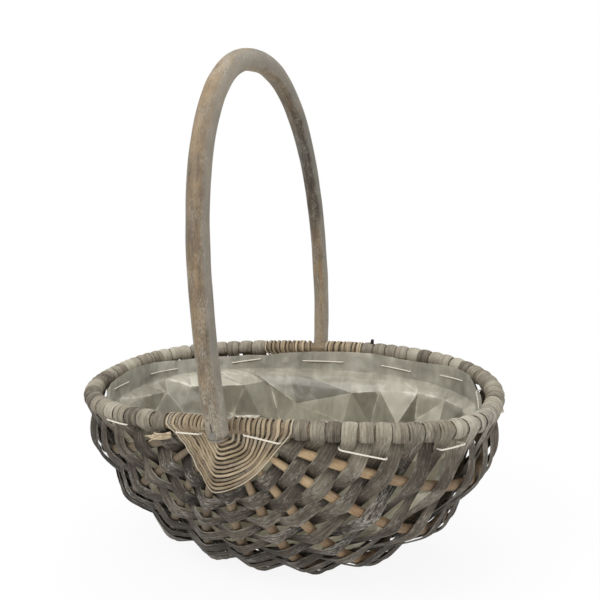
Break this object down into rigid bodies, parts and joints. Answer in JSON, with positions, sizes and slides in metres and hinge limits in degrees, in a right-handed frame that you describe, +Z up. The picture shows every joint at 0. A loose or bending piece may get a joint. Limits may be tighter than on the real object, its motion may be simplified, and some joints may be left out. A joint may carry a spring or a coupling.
{
  "type": "garden trug",
  "caption": "Oval trug basket of bark strips woven over rod ribs on a rod rim, with a fixed hoop handle nailed at both ears, cane lashings and a stitched-in clear liner.",
  "frame": {"origin": "on the floor, under the middle of the basket's overall box", "axes": "+Z up; +X along the basket's long side, to the end where the rim reaches furthest from the handle; +Y across it, from the near ear, where the lashing faces the camera in the picture, to the far ear"},
  "size_m": [0.4163, 0.31, 0.5006],
  "materials": {
    "handle_wood": "bare rod with a worn limewash",
    "rim_wood": "bare rod",
    "rib_wood": "peeled rod, tan",
    "bark_strip": "weathered bark, limewashed edges",
    "lashing_cane": "split cane, limewashed",
    "nail_steel": "dull, darkened",
    "liner_film": "thin see-through film",
    "thread": "plain off-white twine"
  },
  "bodies": {
    "root": {"rim_hoop": "rim_wood", "handle_hoop": "handle_wood", "handle_nail_near": "nail_steel", "handle_nail_far": "nail_steel", "keel_rib": "rib_wood", "rib_1": "rib_wood", "rib_2": "rib_wood", "rib_3": "rib_wood", "rib_4": "rib_wood", "rib_5": "rib_wood", "rib_6": "rib_wood", "rib_7": "rib_wood", "rib_8": "rib_wood", "weave_strip_01": "bark_strip", "weave_strip_02": "bark_strip", "weave_strip_03": "bark_strip", "weave_strip_04": "bark_strip", "weave_strip_05": "bark_strip", "weave_strip_06": "bark_strip", "weave_strip_07": "bark_strip", "weave_strip_08": "bark_strip", "weave_strip_09": "bark_strip", "weave_strip_10": "bark_strip", "weave_strip_11": "bark_strip", "weave_strip_12": "bark_strip", "weave_strip_13": "bark_strip", "weave_strip_14": "bark_strip", "weave_strip_15": "bark_strip", "weave_strip_16": "bark_strip", "weave_strip_17": "bark_strip", "weave_strip_18": "bark_strip", "weave_strip_19": "bark_strip", "weave_strip_20": "bark_strip", "weave_strip_21": "bark_strip", "weave_strip_22": "bark_strip", "weave_strip_23": "bark_strip", "weave_strip_24": "bark_strip", "weave_strip_25": "bark_strip", "weave_strip_26": "bark_strip", "weave_strip_27": "bark_strip", "weave_strip_28": "bark_strip", "weave_strip_29": "bark_strip", "weave_strip_30": "bark_strip", "weave_strip_31": "bark_strip", "weave_strip_32": "bark_strip", "weave_strip_33": "bark_strip", "ear_lashing_near": "lashing_cane", "ear_lashing_far": "lashing_cane", "liner": "liner_film", "stitch_thread": "thread"}
  },
  "joints": []
}
